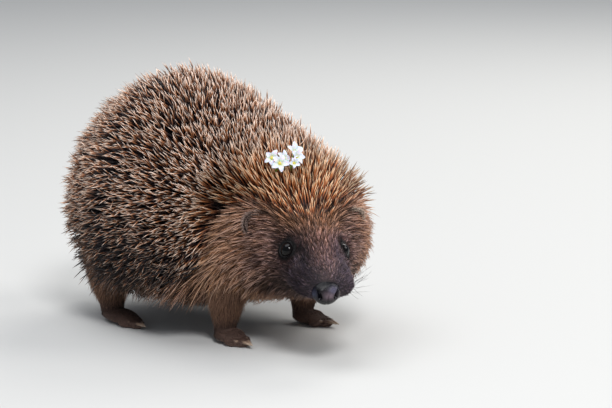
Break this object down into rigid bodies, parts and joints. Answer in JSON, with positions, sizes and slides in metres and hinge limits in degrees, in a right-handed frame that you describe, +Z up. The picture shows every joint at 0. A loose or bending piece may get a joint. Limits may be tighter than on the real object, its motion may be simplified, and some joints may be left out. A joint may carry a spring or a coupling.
{
  "type": "standing european hedgehog with its head turned, still life-size model",
  "caption": "Life-size still hedgehog, standing with its head turned aside: spined back, furred face and skirt, and small white flowers caught in the spines of its crown.",
  "frame": {"origin": "on the floor, under the middle of the whole animal's box", "axes": "+Z up; the trunk lies along Y and faces -Y; -X is the animal's own right side, to which its head is turned"},
  "size_m": [0.117, 0.1932, 0.1255],
  "materials": {
    "spines": "smooth keratin spines, cream at the tip, rust and dark brown below",
    "body_fur": "coarse tan-brown fur in lying tufts",
    "face_fur": "short soft fur, grey-brown on the muzzle and paler on the forehead",
    "skin": "bare or thinly haired dark skin",
    "nose_skin": "wet, finely pebbled bare skin",
    "eye": "wet black eye",
    "claws": "horn-brown claws",
    "petals": "thin soft white petals with yellow-green middles",
    "stems": "green stems and flower middles"
  },
  "bodies": {
    "root": {"head": "face_fur", "jaw": "face_fur", "nose": "nose_skin", "neck": "spines", "trunk": "spines", "rump": "spines", "tail": "skin", "eye_right": "eye", "eye_left": "eye", "ear_right": "skin", "ear_left": "skin", "leg_front_right": "body_fur", "leg_front_left": "body_fur", "leg_hind_right": "body_fur", "leg_hind_left": "body_fur", "foot_front_right": "skin", "foot_front_left": "skin", "foot_hind_right": "skin", "foot_hind_left": "skin", "flower_right": "petals", "flower_left": "petals"}
  },
  "joints": []
}
